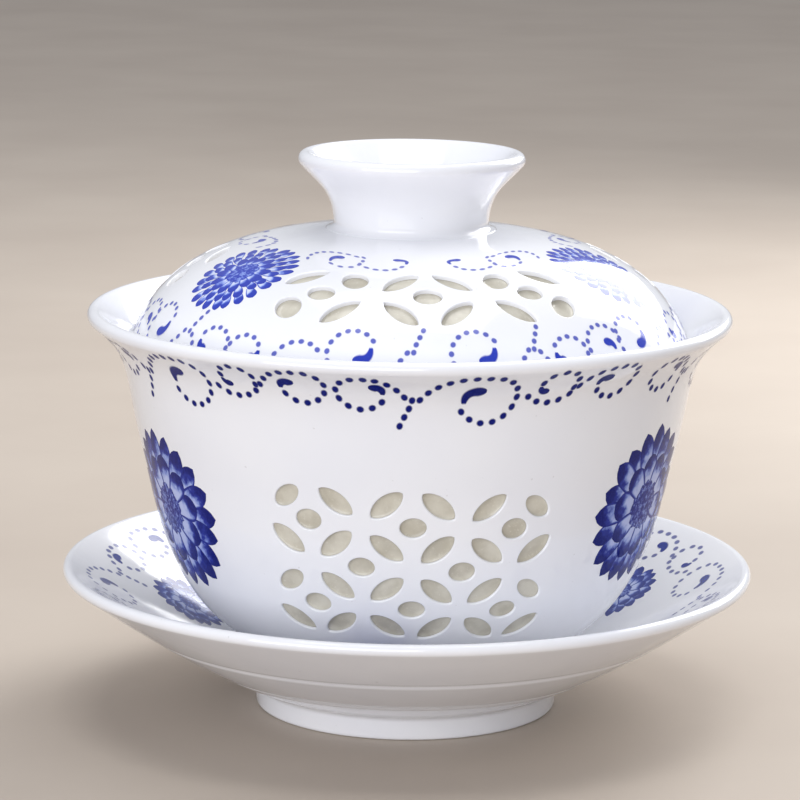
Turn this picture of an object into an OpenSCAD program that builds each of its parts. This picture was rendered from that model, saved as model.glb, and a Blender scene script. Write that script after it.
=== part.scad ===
// Gaiwan: a lidded porcelain tea bowl on its saucer.
// Three loose pieces stand on one another: the saucer on the table, the bowl's
// foot ring in the saucer's well, the lid inside the bowl's flared mouth.
// Bowl and lid walls are pierced in three panels, and each piercing is filled
// with a pane of clear glaze. Front is -Y, up is +Z, origin under the saucer's foot.

/* [Saucer] */
// Diameter over the rim
saucer_d = 110; // [104:1:116]
// Height of the rim above the table
saucer_h = 23.3; // [21:0.1:26]
// Wall thickness
saucer_wall = 2.4; // [2:0.1:3]
// Foot ring diameter where it meets the dish
saucer_foot_d = 50; // [47:0.5:53]
// Foot ring height
saucer_foot_h = 4; // [3:0.1:5]
// Foot ring width
saucer_foot_w = 3.4; // [2.5:0.1:4.5]
// Height of the well floor, where the bowl stands
well_z = 5.8; // [5.4:0.1:6.4]
// Well diameter
well_d = 45.4; // [44.6:0.2:47]
// Depth of the two turned lines under the dish
turned_line = 0.35; // [0.1:0.05:0.6]

/* [Bowl] */
// Mouth diameter over the lip
bowl_d = 102; // [99:0.5:105]
// Height from foot to lip
bowl_h = 58.55; // [55:0.5:63]
// Wall thickness
bowl_wall = 2.2; // [1.8:0.1:2.6]
// Diameter at the shoulder, where the wall begins to flare
shoulder_d = 85.4; // [82:0.2:88]
// Height of the shoulder above the bowl's foot
shoulder_z = 37.6; // [35:0.2:40]
// Lean of the wall at the shoulder, from upright
shoulder_lean = 13.9; // [8:0.5:18]
// Slope of the lip, from level
lip_slope = 37.4; // [30:0.5:50]
// Foot ring diameter
bowl_foot_d = 43; // [40:0.5:44]
// Foot ring height
bowl_foot_h = 4.2; // [3.6:0.1:5]
// Foot ring width
bowl_foot_w = 2.8; // [2.2:0.1:3.4]
// Thickness of the floor inside
bowl_floor = 3.2; // [2.6:0.1:4]
// Turn of the bowl's pattern about its axis, in degrees
bowl_turn = 1.0; // [-180:0.1:180]

/* [Lid] */
// Diameter over the edge
lid_d = 88.5; // [87.5:0.1:89.5]
// Wall thickness
lid_wall = 2.1; // [1.8:0.1:2.4]
// Rise of the dome from the edge's centre to the knob's seat
lid_rise = 17.8; // [16:0.2:20]
// Least gap between the lid's edge and the bowl's wall
lid_gap = 0.15; // [0.1:0.05:0.4]
// Turn of the lid about its axis, in degrees
lid_turn = 4.4; // [-180:0.1:180]

/* [Knob] */
// Diameter over the flared rim
knob_rim_d = 35.8; // [32:0.2:38]
// Diameter at the waist, just above the dome
knob_waist_d = 24.4; // [22:0.2:25]
// Height above its seat
knob_h = 12.1; // [10:0.1:14]
// Wall thickness of the rim
knob_wall = 2.3; // [1.8:0.1:2.8]
// Bore of the hollow at its floor
knob_bore_d = 18; // [15:0.5:19]

/* [Windows] */
// Length of a lens-shaped piercing
lens_l = 6.4; // [5.4:0.1:6.8]
// Width of a lens-shaped piercing
lens_w = 2.7; // [2:0.1:3]
// Length of the small ovals between the lenses
oval_l = 4.1; // [3.4:0.1:4.4]
// Width of the small ovals
oval_w = 3; // [2.4:0.1:3.2]
// Length of a lens-shaped piercing in the lid
lid_lens_l = 6.9; // [6:0.1:7.2]
// Size of the lid's round piercings
lid_round = 4.4; // [3.6:0.1:4.6]
// Lean of the lenses from level
lens_lean = 40; // [32:1:48]
// Angle between the bowl's columns
bowl_col = 10.95; // [10.6:0.05:11.4]
// Step between the bowl's rows, measured along the wall
bowl_row = 7.1; // [6.8:0.1:7.3]
// Height of the bowl's top row above its foot
bowl_row_z = 35.4; // [34:0.1:36.4]
// Fall of the bowl's rows towards the right, per degree
bowl_tilt = 0.026; // [0:0.002:0.04]
// Angle between the lid's pairs of columns
lid_pair = 27.6; // [27:0.1:28]
// Radius of the lid's upper row
lid_row_r = 30.8; // [29.5:0.1:31.5]
// Step between the lid's two rows, along the dome
lid_row = 7.2; // [6.8:0.1:7.6]
// How far the glaze lies below the outer face
glaze_inset = 0.3; // [0.1:0.05:0.6]

/* [Hidden] */
$fn = 96;
panels = [0, 120, -120];
white = [0.93, 0.93, 0.96];
glaze = [0.80, 0.78, 0.68];

// ---- curve helpers: every profile is a list of [radius, height] ----
function unit(v) = v / norm(v);
function along(a) = [cos(a), sin(a)];
function bez(c, t) = pow(1 - t, 3) * c[0] + 3 * t * pow(1 - t, 2) * c[1]
                   + 3 * t * t * (1 - t) * c[2] + t * t * t * c[3];
function slope(c, t) = unit(pow(1 - t, 2) * (c[1] - c[0]) + 2 * t * (1 - t) * (c[2] - c[1])
                          + t * t * (c[3] - c[2]));
function side(v) = [v[1], -v[0]];
// n + 1 points of curve c, moved d to its right-hand side
function run(c, d, n) = [for (i = [0:n]) bez(c, i / n) + d * side(slope(c, i / n))];
function flip(p) = [for (i = [len(p) - 1:-1:0]) p[i]];
function round_off(c, r, a0, a1, n) = [for (i = [1:n - 1]) c + r * along(a0 + (a1 - a0) * i / n)];
// curve parameter at height z, on a curve that rises
function t_at(c, z, lo = 0, hi = 1, n = 16) = n == 0 ? (lo + hi) / 2 :
    bez(c, (lo + hi) / 2)[1] < z ? t_at(c, z, (lo + hi) / 2, hi, n - 1)
                                 : t_at(c, z, lo, (lo + hi) / 2, n - 1);
// curve parameter a distance s further on
function t_step(c, t, s, n = 12) = n == 0 ? t :
    t_step(c, t + s / n / speed(c, t), s * (n - 1) / n, n - 1);
function speed(c, t) = norm(bez(c, t + 0.001) - bez(c, t - 0.001)) / 0.002;

// ---- bowl, from its foot up ----
bowl_z = well_z;
lip_r = bowl_wall / 2;
lip_c = [bowl_d / 2 - lip_r, bowl_h - lip_r];
lip_end = lip_c + lip_r * side(along(lip_slope));
shoulder = [shoulder_d / 2, shoulder_z];
rise = along(90 - shoulder_lean);
belly_c = [[bowl_foot_d / 2 + 0.5, bowl_foot_h],
           [bowl_foot_d / 2 + 0.5, bowl_foot_h] + 17.7 * along(20),
           shoulder - 11.6 * rise, shoulder];
flare_c = [shoulder, shoulder + 10.9 * rise, lip_end - 8.3 * along(lip_slope), lip_end];
bowl_outer = concat(run(belly_c, 0, 12), run(flare_c, 0, 9));
belly_in = [for (p = concat(run(belly_c, -bowl_wall, 12), run(flare_c, -bowl_wall, 9)))
            if (p[1] > bowl_foot_h + bowl_floor) p];
bowl_base_z = bowl_foot_h - 1;
bowl_profile = concat(
    [[0, bowl_base_z], [bowl_foot_d / 2 - bowl_foot_w - 0.6, bowl_base_z],
     [bowl_foot_d / 2 - bowl_foot_w, bowl_base_z - 0.6],
     [bowl_foot_d / 2 - bowl_foot_w + 0.5, 0], [bowl_foot_d / 2 - 0.5, 0],
     [bowl_foot_d / 2, 0.5], [bowl_foot_d / 2, bowl_foot_h - 0.5]],
    bowl_outer, round_off(lip_c, lip_r, lip_slope - 90, lip_slope + 90, 8), flip(belly_in),
    [[belly_in[0][0] - 3.4, bowl_base_z + bowl_floor + 0.45],
     [belly_in[0][0] - 8, bowl_base_z + bowl_floor], [0, bowl_base_z + bowl_floor]]);

// ---- lid, from the centre of its rounded edge up ----
edge_r = lid_wall / 2;
edge_c = [lid_d / 2 - edge_r, 0];
dome_lean = 20;
dome_c = [edge_c + edge_r * along(dome_lean),
          edge_c + edge_r * along(dome_lean) + 16 * along(90 + dome_lean),
          [knob_seat_r() + 9, lid_rise - 1.3], [knob_seat_r(), lid_rise]];
function knob_seat_r() = knob_waist_d / 2 + 0.8;
dome_in = run(dome_c, -lid_wall, 14);
lid_profile = concat(
    [[0, lid_rise - lid_wall], [0, lid_rise]], flip(run(dome_c, 0, 14)),
    round_off(edge_c, edge_r, dome_lean, dome_lean - 180, 8), dome_in);

// the lid sinks until its edge is lid_gap from the bowl's inner face
wall_line = concat(run(belly_c, -bowl_wall, 20), run(flare_c, -bowl_wall, 60));
function edge_room(z) = min([for (p = wall_line) norm(p - [edge_c[0], z])]) - edge_r - lid_gap;
function seat(lo, hi, n) = n == 0 ? hi : edge_room((lo + hi) / 2) > 0
    ? seat(lo, (lo + hi) / 2, n - 1) : seat((lo + hi) / 2, hi, n - 1);
lid_z = bowl_z + seat(shoulder_z + 8, bowl_h, 14);

// ---- knob, from its seat up ----
knob_z = lid_z + lid_rise;
knob_lip_r = knob_wall / 2;
knob_lip = [knob_rim_d / 2 - knob_lip_r, knob_h - knob_lip_r];
knob_side = [[knob_waist_d / 2, 0.9], [knob_waist_d / 2 + 0.5, 6.2],
             knob_lip + knob_lip_r * along(-42) - 4.6 * along(48),
             knob_lip + knob_lip_r * along(-42)];
knob_inner = [[knob_bore_d / 2, 1.6], [knob_bore_d / 2 + 0.3, 6.6],
              knob_lip + knob_lip_r * along(138) - 4 * along(48),
              knob_lip + knob_lip_r * along(138)];
knob_profile = concat(
    [[0, 0], [knob_seat_r(), 0], [knob_waist_d / 2 + 0.25, 0.3]], run(knob_side, 0, 9),
    round_off(knob_lip, knob_lip_r, -42, 138, 7), flip(run(knob_inner, 0, 9)),
    [[knob_bore_d / 2 - 1, 1.2], [0, 1.2]]);

// ---- saucer ----
dish_lip_r = saucer_wall / 2 - 0.25;
dish_lip = [saucer_d / 2 - dish_lip_r, saucer_h - dish_lip_r];
dish_slope = 34;
dish_c = [[saucer_foot_d / 2, saucer_foot_h],
          [saucer_foot_d / 2, saucer_foot_h] + 11 * along(20),
          dish_lip + dish_lip_r * along(dish_slope - 90) - 5.5 * along(dish_slope),
          dish_lip + dish_lip_r * along(dish_slope - 90)];
// a turned line is a shallow step in the under side at parameter t
function line_at(t) = [bez(dish_c, t) + turned_line * along(120), bez(dish_c, t) + turned_line * along(15)];
dish_n = 20;
dish_under = concat([for (i = [0:4]) bez(dish_c, i / dish_n)], line_at(4.6 / dish_n),
                    [for (i = [6:10]) bez(dish_c, i / dish_n)], line_at(10.6 / dish_n),
                    [for (i = [12:dish_n]) bez(dish_c, i / dish_n)]);
// the upper side keeps the wall's thickness, a little thinner at the lip
dish_top = [for (i = [0:dish_n]) let (t = i / dish_n)
            bez(dish_c, t) - (saucer_wall + 0.5 * (1 - t) - 0.5 * t) * side(slope(dish_c, t))];
well_wall = well_z + 1.7;
foot_in = saucer_foot_d / 2 - saucer_foot_w;
saucer_profile = concat(
    [[0, well_z - 3.2], [foot_in - 1.6, well_z - 3.2], [foot_in - 0.4, well_z - 3.9],
     [foot_in + 0.3, 0.5], [foot_in + 0.8, 0], [saucer_foot_d / 2 - 1.2, 0],
     [saucer_foot_d / 2 - 0.7, 0.5]],
    dish_under, round_off(dish_lip, dish_lip_r, dish_slope - 90, dish_slope + 90, 7),
    flip([for (p = dish_top) if (p[0] > well_d / 2 + 2.4) p]),
    [[well_d / 2 + 1.5, well_wall], [well_d / 2 + 0.5, well_wall - 0.3], [well_d / 2, well_wall - 0.9],
     [well_d / 2 - 0.1, well_z + 0.3], [well_d / 2 - 0.4, well_z], [0, well_z]]);

// ---- piercings ----
// a lens is where two round bars cross; cut short by a third bar it is an oval
module lens(l, w, depth) {
    r = (l * l + w * w) / (4 * w);
    intersection() {
        translate([0, r - w / 2, -depth]) cylinder(r = r, h = depth + 1.2);
        translate([0, w / 2 - r, -depth]) cylinder(r = r, h = depth + 1.2);
    }
}

module oval(l, w, depth) intersection() {
    lens(l * 1.25, w, depth);
    translate([0, 0, -depth]) cylinder(d = l, h = depth + 1.2);
}

// puts a piercing on curve c at parameter t, square to the wall
module on_wall(c, t, z, az) {
    p = bez(c, t);
    d = slope(c, t);
    rotate([0, 0, az]) translate([0, -p[0], p[1] + z]) rotate([90 + asin(-side(d)[1]), 0, 0]) children();
}

// linked-ring lattice: four rows of six lenses, an oval inside every ring
module bowl_windows(turn) {
    top = t_at(belly_c, bowl_row_z);
    for (row = [0:3], col = [0:5]) {
        off = (col - 2.5) * bowl_col * (0.97 + 0.02 * row);
        t = t_step(belly_c, top, -bowl_row * row - bowl_tilt * off);
        az = turn + off;
        blunt = (col == 0 || col == 5) && row % 2 == 0;
        on_wall(belly_c, t, bowl_z, az) rotate([0, 0, (row + col) % 2 == 0 ? lens_lean : -lens_lean])
            if (blunt) oval(oval_l + 0.4, oval_w - 0.2, bowl_wall + 1.4);
            else lens(lens_l, lens_w, bowl_wall + 1.4);
    }
    for (row = [0:2], col = [0:4]) if ((row + col) % 2 == 0) {
        off = (col - 2) * bowl_col;
        t = t_step(belly_c, top, -bowl_row * (row + 0.5) - bowl_tilt * off);
        on_wall(belly_c, t, bowl_z, turn + off) oval(oval_l, oval_w, bowl_wall + 1.4);
    }
}

// the lid's panel: two rows of six in pairs, an oval inside each ring
module lid_windows(turn) {
    upper = t_of_r(lid_row_r);
    lower = t_step(dome_c, upper, -lid_row);
    for (pair = [-1:1]) {
        az = turn + pair * lid_pair;
        for (s = [-1, 1]) {
            on_wall(dome_c, upper, lid_z, az + s * 7.4) rotate([0, 0, -s * lens_lean])
                if (pair * s == -1) oval(lid_round, lid_round - 0.5, lid_wall + 1.4);
                else lens(lid_lens_l, lens_w, lid_wall + 1.4);
            on_wall(dome_c, lower, lid_z, az + s * 6.5) rotate([0, 0, s * lens_lean])
                if (pair * s == 1) oval(lid_round, lid_round - 0.3, lid_wall + 1.4);
                else lens(lid_lens_l, lens_w, lid_wall + 1.4);
        }
        on_wall(dome_c, (upper + lower) / 2, lid_z, az) oval(oval_l + 0.3, oval_w + 0.3, lid_wall + 1.4);
    }
}
function t_of_r(r, lo = 0, hi = 1, n = 16) = n == 0 ? (lo + hi) / 2 :
    bez(dome_c, (lo + hi) / 2)[0] > r ? t_of_r(r, (lo + hi) / 2, hi, n - 1)
                                      : t_of_r(r, lo, (lo + hi) / 2, n - 1);

// ---- pieces ----
module saucer() color(white) rotate_extrude() polygon(saucer_profile);

module bowl() color(white) difference() {
    translate([0, 0, bowl_z]) rotate_extrude() polygon(bowl_profile);
    for (a = panels) bowl_windows(a + bowl_turn);
}

module lid() color(white) difference() {
    translate([0, 0, lid_z]) rotate_extrude() polygon(lid_profile);
    for (a = panels) lid_windows(a + lid_turn);
}

module lid_knob() color(white) translate([0, 0, knob_z]) rotate_extrude() polygon(knob_profile);

// panes: the part of each piercing that lies inside the wall
module bowl_panes(turn) color(glaze) intersection() {
    translate([0, 0, bowl_z]) rotate_extrude() polygon(concat(run(belly_c, -glaze_inset, 12),
        flip(run(belly_c, glaze_inset - bowl_wall, 12))));
    bowl_windows(turn + bowl_turn);
}

module lid_panes(turn) color(glaze) intersection() {
    translate([0, 0, lid_z]) rotate_extrude() polygon(concat(run(dome_c, -glaze_inset, 14),
        flip(run(dome_c, glaze_inset - lid_wall, 14))));
    lid_windows(turn + lid_turn);
}

saucer();
bowl();
lid();
lid_knob();
bowl_panes(panels[0]);  // bowl_panes_front
bowl_panes(panels[1]);  // bowl_panes_right
bowl_panes(panels[2]);  // bowl_panes_left
lid_panes(panels[0]);  // lid_panes_front
lid_panes(panels[1]);  // lid_panes_right
lid_panes(panels[2]);  // lid_panes_left
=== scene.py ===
"""Looks of a lidded porcelain tea bowl on its saucer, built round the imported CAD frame.

Shapes are worked out in millimetres as [radius, height] lines, turned about the axis, and
made in metres. Azimuth 0 is the front (-Y) and grows towards +X. A Skin is one face of a
wall: a place on it is an azimuth in degrees and s, the distance up the wall in millimetres.
"""
import math
import random

import bmesh
import bpy
import numpy as np
from mathutils import Matrix, Vector
from mathutils.geometry import delaunay_2d_cdt


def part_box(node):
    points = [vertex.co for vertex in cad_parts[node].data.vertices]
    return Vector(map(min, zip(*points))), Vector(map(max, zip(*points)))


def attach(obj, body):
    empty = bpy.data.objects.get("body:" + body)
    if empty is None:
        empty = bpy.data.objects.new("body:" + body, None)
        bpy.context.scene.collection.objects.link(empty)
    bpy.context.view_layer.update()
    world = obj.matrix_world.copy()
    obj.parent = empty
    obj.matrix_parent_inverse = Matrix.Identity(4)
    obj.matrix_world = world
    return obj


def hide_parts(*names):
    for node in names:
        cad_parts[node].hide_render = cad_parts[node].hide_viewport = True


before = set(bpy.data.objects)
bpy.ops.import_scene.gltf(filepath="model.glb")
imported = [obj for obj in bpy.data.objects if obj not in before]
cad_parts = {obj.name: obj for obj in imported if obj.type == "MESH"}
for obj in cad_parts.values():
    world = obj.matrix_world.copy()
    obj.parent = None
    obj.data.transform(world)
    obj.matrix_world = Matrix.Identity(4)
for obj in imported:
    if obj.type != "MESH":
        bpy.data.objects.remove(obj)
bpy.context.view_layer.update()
MM = 0.001
COLUMNS = 240
COLUMN_DEG = 360 / COLUMNS
PANELS = (0, 120, 240)
PANEL_COLUMNS = [int(azimuth / COLUMN_DEG) for azimuth in PANELS]
SIDES = ("front", "right", "left")

# ---- sizes from the frame, in millimetres ----


def box_mm(node):
    """Radius over a round node, and its lowest and highest z."""
    low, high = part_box(node)
    return (high.x - low.x) / 2 / MM, low.z / MM, high.z / MM


BOWL_R, BOWL_Z, BOWL_TOP = box_mm("bowl")
LID_R, LID_LOW, LID_TOP = box_mm("lid")
KNOB_R, KNOB_Z, KNOB_TOP = box_mm("lid_knob")
SAUCER_R, _, SAUCER_TOP = box_mm("saucer")
BOWL_WALL, LID_WALL, KNOB_WALL, DISH_WALL = 2.2, 2.1, 2.3, 2.4
# degrees that the bowl and the lid stand turned on their seats in the photo
BOWL_TURN, LID_TURN = 1.0, 4.4

# ---- lines ----


def along(degrees):
    a = math.radians(degrees)
    return np.array([math.cos(a), math.sin(a)])


def right_of(v):
    v = np.asarray(v, float)
    return np.stack([v[..., 1], -v[..., 0]], -1)


def unit(v):
    return v / np.maximum(np.linalg.norm(v, axis=-1, keepdims=True), 1e-12)


def bezier(controls, n):
    t = np.linspace(0, 1, n)[:, None]
    a, b, c, d = [np.asarray(p, float) for p in controls]
    return (1 - t) ** 3 * a + 3 * t * (1 - t) ** 2 * b + 3 * t * t * (1 - t) * c + t**3 * d


def arc(centre, radius, start, end, n):
    return np.array([centre + radius * along(a) for a in np.linspace(start, end, n)])


def soften(corners, radius, n=5):
    """A bent line with every inner corner rounded off."""
    corners = [np.asarray(c, float) for c in corners]
    line = [corners[0]]
    for before, here, after in zip(corners, corners[1:], corners[2:]):
        back, on = before - here, after - here
        reach = min(radius, 0.45 * np.linalg.norm(back), 0.45 * np.linalg.norm(on))
        start, end = here + reach * unit(back), here + reach * unit(on)
        line += list(bezier([start, (start + 2 * here) / 3, (end + 2 * here) / 3, end], n))
    return np.array(line + [corners[-1]])


def way_along(line):
    """The distance along a line at each of its points."""
    return np.append(0, np.cumsum(np.hypot(*np.diff(line, axis=0).T)))


def sample(line, way, want):
    return np.stack([np.interp(want, way, line[:, k]) for k in (0, 1)], 1)


def around(a, r, z):
    """Points or directions round the axis, at angles a from the front."""
    return np.stack([r * np.sin(a), -r * np.cos(a), z + 0 * a], -1)


def line_normals(line):
    """Normals on the right-hand side of a line, from its neighbouring stretches."""
    step = unit(np.diff(line, axis=0))
    mean = np.vstack([step[:1], step[:-1] + step[1:], step[-1:]])
    return right_of(unit(mean))


class Skin:
    """One face of a wall, as a line of [radius, height] and the distance s along it."""

    def __init__(self, line, flip=False):
        keep = np.append(True, np.hypot(*np.diff(line, axis=0).T) > 1e-6)
        self.line = line[keep]
        self.s = way_along(self.line)
        self.normals = line_normals(self.line) * (-1 if flip else 1)

    def at(self, s, depth=0.0):
        """Radius, height and normal at s, at a depth under the face."""
        r, z = (np.interp(s, self.s, self.line[:, k]) for k in (0, 1))
        nr, nz = (np.interp(s, self.s, self.normals[:, k]) for k in (0, 1))
        return r - depth * nr, z - depth * nz, nr, nz

    def s_at_height(self, z):
        return float(np.interp(z, self.line[:, 1], self.s))

    def s_at_radius(self, r):
        order = np.argsort(self.line[:, 0])
        return float(np.interp(r, self.line[order, 0], self.s[order]))

    def place(self, azimuth, s, depth=0.0):
        """Points in millimetres and unit normals."""
        a = np.radians(azimuth)
        r, z, nr, nz = self.at(s, depth)
        return around(a, r, z), unit(around(a, nr, nz))

    def spread(self, azimuth, s, flat, depth=0.0, girth=None):
        """Lays flat [across, up] millimetres on the face round one place.

        A girth is the one radius that turns millimetres across into degrees, so that a
        border keeps its columns upright on a flared wall.
        """
        up = s + flat[..., 1]
        across = azimuth + np.degrees(flat[..., 0] / (girth or self.at(up)[0]))
        return self.place(across, up, depth)


# ---- mesh building ----


class Build:
    """Collects points with exact normals and faces, then makes one object of them."""

    def __init__(self):
        self.points, self.normals, self.marks, self.faces, self.looks = [], [], [], [], []
        self.count = 0

    def add(self, points, normals, marks=None):
        points = np.asarray(points, float)
        ids = np.arange(self.count, self.count + points[..., 0].size).reshape(points.shape[:-1])
        self.count += ids.size
        self.points.append(points.reshape(-1, 3))
        self.normals.append(np.asarray(normals, float).reshape(-1, 3))
        if marks is not None:
            self.marks.append(np.asarray(marks, float).reshape(-1, 3))
        return ids

    def face(self, ids, look=0):
        self.faces.append([int(i) for i in ids])
        self.looks.append(look)

    def grid(self, ids, wrap=False, look=0):
        """Quads between the rows of a grid of ids."""
        ids = np.asarray(ids)
        across = np.roll(ids, -1, 1)
        quads = np.stack([ids[:-1], across[:-1], across[1:], ids[1:]], -1)
        quads = quads if wrap else quads[:, :-1]
        self.faces += quads.reshape(-1, 4).tolist()
        self.looks += [look] * (len(self.faces) - len(self.looks))

    def fan(self, ring, centre, look=0):
        for j in range(len(ring)):
            self.face((ring[j], ring[(j + 1) % len(ring)], centre), look)

    def make(self, name, materials, body, slot, replaces=(), exact=True):
        """Makes the object, without the points that no face uses."""
        used = sorted({i for f in self.faces for i in f})
        at = {old: new for new, old in enumerate(used)}
        points = np.concatenate(self.points)[used] * MM
        normals = np.concatenate(self.normals)[used]
        faces = [[at[i] for i in f] for f in self.faces]
        mesh = bpy.data.meshes.new(name)
        mesh.from_pydata(points.tolist(), [], faces)
        turn_outwards(mesh)
        mesh.polygons.foreach_set("material_index", self.looks)
        mesh.polygons.foreach_set("use_smooth", [True] * len(faces))
        if self.marks:
            layer = mesh.attributes.new("mark", "FLOAT_VECTOR", "POINT")
            layer.data.foreach_set("vector", np.concatenate(self.marks)[used].ravel())
        for material in materials:
            mesh.materials.append(material)
        mesh.update()
        if exact:
            mesh.normals_split_custom_set_from_vertices(normals.tolist())
        piece = bpy.data.objects.new(name, mesh)
        bpy.context.scene.collection.objects.link(piece)
        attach(piece, body)
        if replaces:
            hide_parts(*replaces)


def shells_of(shape):
    """The faces of a bmesh, in one list for each connected shell."""
    seen = set()
    shells = []
    for start in shape.faces:
        if start in seen:
            continue
        seen.add(start)
        shell = [start]
        for face in shell:
            for edge in face.edges:
                for other in edge.link_faces:
                    if other not in seen:
                        seen.add(other)
                        shell.append(other)
        shells.append(shell)
    return shells


def turn_outwards(mesh):
    """Winds each closed shell's faces alike, then turns over any that is inside out.

    recalc_face_normals alone leaves some of the thin petals inside out, and they render black.
    """
    shape = bmesh.new()
    shape.from_mesh(mesh)
    bmesh.ops.recalc_face_normals(shape, faces=shape.faces)
    for shell in shells_of(shape):
        origin = shell[0].calc_center_median()
        sides = [f.calc_area() * f.normal.dot(f.calc_center_median() - origin) for f in shell]
        if sum(sides) < 0:
            bmesh.ops.reverse_faces(shape, faces=shell)
    shape.to_mesh(mesh)
    shape.free()


def turn(build, line, first_azimuth=0.0, skip=None, look_of=None):
    """A line turned about the axis. Returns the rings' ids; an end on the axis is a point."""
    normals = line_normals(line)
    azimuth = first_azimuth + np.arange(COLUMNS) * COLUMN_DEG
    a = np.radians(azimuth)
    rings = []
    for (r, z), (nr, nz) in zip(line, normals):
        if r < 1e-6:
            rings.append(build.add([[0, 0, z]], [[0, 0, np.sign(nz)]]))
            continue
        rings.append(build.add(around(a, r, z), around(a, nr, nz)))
    for i, (low, high) in enumerate(zip(rings, rings[1:])):
        look = look_of(i) if look_of else 0
        point, ring = sorted((low, high), key=len)
        if len(point) == 1:
            build.fan(ring, point[0], look)
            continue
        for j in range(COLUMNS):
            if not (skip and skip(i, j)):
                k = (j + 1) % COLUMNS
                build.face((low[j], low[k], high[k], high[j]), look)
    return rings


# ---- piercings ----

# the radius of a hole's softened rim, and the clear space round it on the net
RIM, CLEAR = 0.26, 0.42
HOLE_POINTS = 34
# half the columns that a panel takes up
BOWL_HALF, LID_HALF = 24, 30
# how far the panes stand below the outer face, and below the inner one
BOWL_PANE_DEPTH, LID_PANE_DEPTH, PANE_BACK = 0.65, 1.0, 0.45


class Hole:
    """A piercing: its place in a panel, size, lean, and how pointed its ends are."""

    def __init__(self, azimuth, s, length, width, lean, point, rng):
        self.azimuth, self.s = azimuth + rng.uniform(-0.12, 0.12), s + rng.uniform(-0.08, 0.08)
        self.half = (length / 2 * rng.uniform(0.985, 1.015), width / 2 * rng.uniform(0.96, 1.04))
        self.lean = lean + rng.uniform(-2, 2)
        self.point = point

    def outline(self, grow=0.0, scale=1.0):
        """Flat [across, up] points round the hole's centre, and their outward directions."""
        t = np.linspace(0, 2 * math.pi, 4 * HOLE_POINTS, endpoint=False)
        x = self.half[0] * np.cos(t)
        y = self.half[1] * np.sign(np.sin(t)) * np.abs(np.sin(t)) ** self.point
        dense = np.stack([x, y], 1) @ np.array([along(self.lean), along(self.lean + 90)])
        closed = np.vstack([dense, dense[:1]])
        way = way_along(closed)
        ring = sample(closed, way, np.linspace(0, way[-1], HOLE_POINTS, endpoint=False))
        outwards = right_of(unit(np.roll(ring, -1, 0) - np.roll(ring, 1, 0)))
        return ring * scale + grow * outwards, outwards


def inside(points, ring):
    """Which points lie inside a closed ring, by the even-odd rule."""
    x, y = points[:, 0:1], points[:, 1:2]
    ax, ay = ring[:, 0], ring[:, 1]
    bx, by = np.roll(ax, -1), np.roll(ay, -1)
    crossing = (ay > y) != (by > y)
    at = ax + (y - ay) / np.where(by == ay, 1e-12, by - ay) * (bx - ax)
    return (crossing & (x < at)).sum(1) % 2 == 1


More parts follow.
